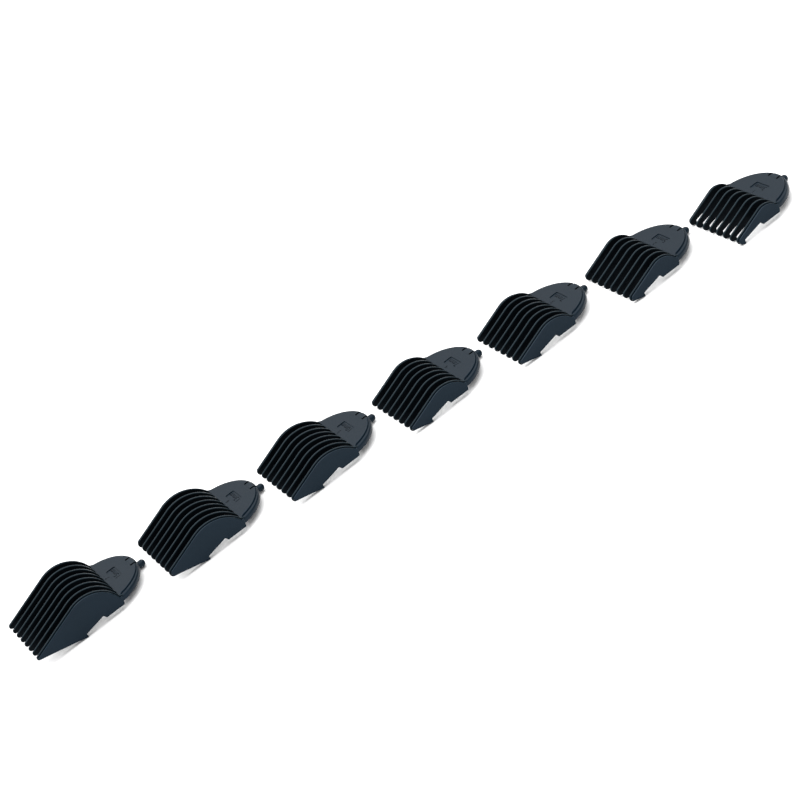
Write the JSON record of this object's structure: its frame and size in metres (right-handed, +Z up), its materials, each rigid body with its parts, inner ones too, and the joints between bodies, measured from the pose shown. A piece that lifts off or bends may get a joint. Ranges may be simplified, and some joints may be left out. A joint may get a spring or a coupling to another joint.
{
  "type": "hair clipper guide comb set",
  "caption": "Clip-on guide combs for a hair clipper, laid out in a row: ribbed glide face, rounded tongue and snap tab.",
  "frame": {"origin": "centre of the row's footprint, on the table that the combs lie on", "axes": "+X along the row, from the longest comb's teeth towards the shortest comb's tongue; +Z up, away from the table"},
  "size_m": [0.4396, 0.1284, 0.0196],
  "materials": {
    "comb_plastic": "blue-black moulded polypropylene with a fine satin grain"
  },
  "bodies": {
    "comb_7": {"comb_7_teeth": "comb_plastic", "comb_7_shell": "comb_plastic"},
    "comb_7_tab": {"comb_7_snap_tab": "comb_plastic"},
    "comb_6": {"comb_6_teeth": "comb_plastic", "comb_6_shell": "comb_plastic"},
    "comb_6_tab": {"comb_6_snap_tab": "comb_plastic"},
    "comb_5": {"comb_5_teeth": "comb_plastic", "comb_5_shell": "comb_plastic"},
    "comb_5_tab": {"comb_5_snap_tab": "comb_plastic"},
    "comb_4": {"comb_4_teeth": "comb_plastic", "comb_4_shell": "comb_plastic"},
    "comb_4_tab": {"comb_4_snap_tab": "comb_plastic"},
    "comb_3": {"comb_3_teeth": "comb_plastic", "comb_3_shell": "comb_plastic"},
    "comb_3_tab": {"comb_3_snap_tab": "comb_plastic"},
    "comb_2": {"comb_2_teeth": "comb_plastic", "comb_2_shell": "comb_plastic"},
    "comb_2_tab": {"comb_2_snap_tab": "comb_plastic"},
    "comb_1": {"comb_1_teeth": "comb_plastic", "comb_1_shell": "comb_plastic"},
    "comb_1_tab": {"comb_1_snap_tab": "comb_plastic"}
  },
  "joints": [
    {"name": "comb_7_tab_flex", "type": "hinge", "parent": "comb_7", "child": "comb_7_tab", "pos_m": [-0.155, 0.04125, 0.0074], "axis": [0, -1, 0], "range_deg": [0, 5], "stiffness_Nm_per_rad": 0.8},
    {"name": "comb_6_tab_flex", "type": "hinge", "parent": "comb_6", "child": "comb_6_tab", "pos_m": [-0.0855, 0.02985, 0.0074], "axis": [0, -1, 0], "range_deg": [0, 5], "stiffness_Nm_per_rad": 0.8},
    {"name": "comb_6_lift", "type": "slide", "parent": "comb_7", "child": "comb_6", "axis": [0, 0, 1], "range_m": [0, 0.06]},
    {"name": "comb_5_tab_flex", "type": "hinge", "parent": "comb_5", "child": "comb_5_tab", "pos_m": [-0.0207, 0.01795, 0.0074], "axis": [0, -1, 0], "range_deg": [0, 5], "stiffness_Nm_per_rad": 0.8},
    {"name": "comb_5_lift", "type": "slide", "parent": "comb_7", "child": "comb_5", "axis": [0, 0, 1], "range_m": [0, 0.06]},
    {"name": "comb_4_tab_flex", "type": "hinge", "parent": "comb_4", "child": "comb_4_tab", "pos_m": [0.0408, 0.00475, 0.0074], "axis": [0, -1, 0], "range_deg": [0, 5], "stiffness_Nm_per_rad": 0.8},
    {"name": "comb_4_lift", "type": "slide", "parent": "comb_7", "child": "comb_4", "axis": [0, 0, 1], "range_m": [0, 0.06]},
    {"name": "comb_3_tab_flex", "type": "hinge", "parent": "comb_3", "child": "comb_3_tab", "pos_m": [0.1023, -0.00775, 0.0074], "axis": [0, -1, 0], "range_deg": [0, 5], "stiffness_Nm_per_rad": 0.8},
    {"name": "comb_3_lift", "type": "slide", "parent": "comb_7", "child": "comb_3", "axis": [0, 0, 1], "range_m": [0, 0.06]},
    {"name": "comb_2_tab_flex", "type": "hinge", "parent": "comb_2", "child": "comb_2_tab", "pos_m": [0.1595, -0.02295, 0.0074], "axis": [0, -1, 0], "range_deg": [0, 5], "stiffness_Nm_per_rad": 0.8},
    {"name": "comb_2_lift", "type": "slide", "parent": "comb_7", "child": "comb_2", "axis": [0, 0, 1], "range_m": [0, 0.06]},
    {"name": "comb_1_tab_flex", "type": "hinge", "parent": "comb_1", "child": "comb_1_tab", "pos_m": [0.2122, -0.04125, 0.0074], "axis": [0, -1, 0], "range_deg": [0, 5], "stiffness_Nm_per_rad": 0.8},
    {"name": "comb_1_lift", "type": "slide", "parent": "comb_7", "child": "comb_1", "axis": [0, 0, 1], "range_m": [0, 0.06]}
  ]
}
